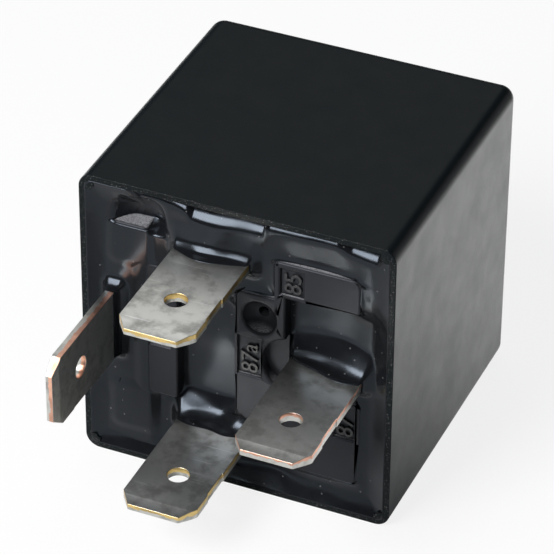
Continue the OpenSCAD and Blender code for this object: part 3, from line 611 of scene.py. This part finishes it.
black_resin, tree, shader = new_material("black_resin")
grain, mottle = grain_nodes(tree, 2500.0)
place = add(tree, "ShaderNodeTexCoord").outputs["Object"]
dust = add(tree, "ShaderNodeTexVoronoi", Vector=place, Scale=1100.0)
speck = ramp(tree, dust.outputs["Distance"], 0.09, 0.05)
dusty = mix_color(tree, speck, (0.006, 0.0065, 0.0075), (0.09, 0.09, 0.09))
tree.links.new(dusty, shader.inputs["Base Color"])
rough = add(tree, "ShaderNodeMapRange", i0=mottle, i1=0.3, i2=0.7, i3=0.13, i4=0.26).outputs[0]
tree.links.new(rough, shader.inputs["Roughness"])
shader.inputs["Specular IOR Level"].default_value = 0.31
shader.inputs["Specular Tint"].default_value = (0.66, 0.76, 0.90, 1)
bump = add(tree, "ShaderNodeBump", Height=grain, Strength=0.12, Distance=0.03 * MM)
tree.links.new(bump.outputs[0], shader.inputs["Normal"])
poured_resin = bpy.data.objects.new("poured_resin", resin_mesh())
resin = place_piece(poured_resin, "housing", "black_resin", "sealing_resin")
resin.data.materials.append(black_resin)


# ---------------------------------------------------------------- Floor and light
# White paper in a dim room, a softbox in front at the upper left, a large dim one behind and above,
# and a small card at the right. The paper shows evenly white, and for mirrored rays a painted pool of
# light glows on it behind the relay, where the right face mirrors it.
def stage_plane(name, half, z=0.0):
    """A square of stage floor, centred under the relay."""
    mesh = bpy.data.meshes.new(name)
    corners = [(-half, -half, z), (half, -half, z), (half, half, z), (-half, half, z)]
    mesh.from_pydata(corners, [], [(0, 1, 2, 3)])
    made = bpy.data.objects.new(name, mesh)
    bpy.context.scene.collection.objects.link(made)
    return made


floor = stage_plane("floor", 3.0, -0.02 * MM)
floor_paper, tree, shader = new_material("floor_paper")
shader.inputs["Base Color"].default_value = (0.8, 0.8, 0.8, 1)
shader.inputs["Roughness"].default_value = 0.9
shader.inputs["Specular IOR Level"].default_value = 0.0
path = add(tree, "ShaderNodeLightPath")
camera_ray, glossy_ray = path.outputs["Is Camera Ray"], path.outputs["Is Glossy Ray"]
place = add(tree, "ShaderNodeTexCoord").outputs["Object"]
away = add(tree, "ShaderNodeVectorMath", operation="LENGTH", i0=place).outputs["Value"]
paper_tone = mix_color(tree, camera_ray, (0.8, 0.8, 0.8), (0.13, 0.13, 0.13))
tree.links.new(paper_tone, shader.inputs["Base Color"])
# Painted light: only glossy rays see the paper behind the relay glow, in a pool fading out from 0.06 to 0.16
# m.
behind = ramp(tree, add(tree, "ShaderNodeSeparateXYZ", i0=place).outputs[1], -0.015, 0.03, 0.0, 2.4)
pool = ramp(tree, away, 0.16, 0.06)
painted_light_pool = math_node(tree, "MULTIPLY", glossy_ray, math_node(tree, "MULTIPLY", behind, pool))
strength = math_node(tree, "ADD", math_node(tree, "MULTIPLY", camera_ray, 0.84), painted_light_pool)
glow = add(tree, "ShaderNodeEmission", Color=(1, 1, 1, 1), Strength=strength)
lit = add(tree, "ShaderNodeAddShader", i0=shader.outputs[0], i1=glow.outputs[0])
tree.links.new(lit.outputs[0], tree.nodes["Material Output"].inputs[0])
floor.data.materials.append(floor_paper)


def softbox(name, place, aim, size, power):
    """A square area lamp at a place, turned to face a point."""
    data = bpy.data.lights.new(name, "AREA")
    data.shape = "SQUARE"
    data.size = size
    data.energy = power
    made = bpy.data.objects.new(name, data)
    made.location = place
    made.rotation_euler = (Vector(aim) - Vector(place)).to_track_quat("-Z", "Y").to_euler()
    made.visible_camera = False
    bpy.context.scene.collection.objects.link(made)
    return made


softbox("key", (-0.15, -0.30, 0.31), (0, 0, 0.012), 0.21, 2.9)
softbox("back_card", (-0.14, 0.34, 0.48), (0, 0, 0.012), 0.50, 0.88)
softbox("right_card", (0.24, 0.34, 0.07), (0, 0, 0.012), 0.16, 0.09)

world = bpy.data.worlds.new("studio")
bpy.context.scene.world = world
world.use_nodes = True
tree = world.node_tree
tree.nodes["Background"].inputs["Color"].default_value = (0.030, 0.042, 0.048, 1)
tree.nodes["Background"].inputs["Strength"].default_value = 1.0
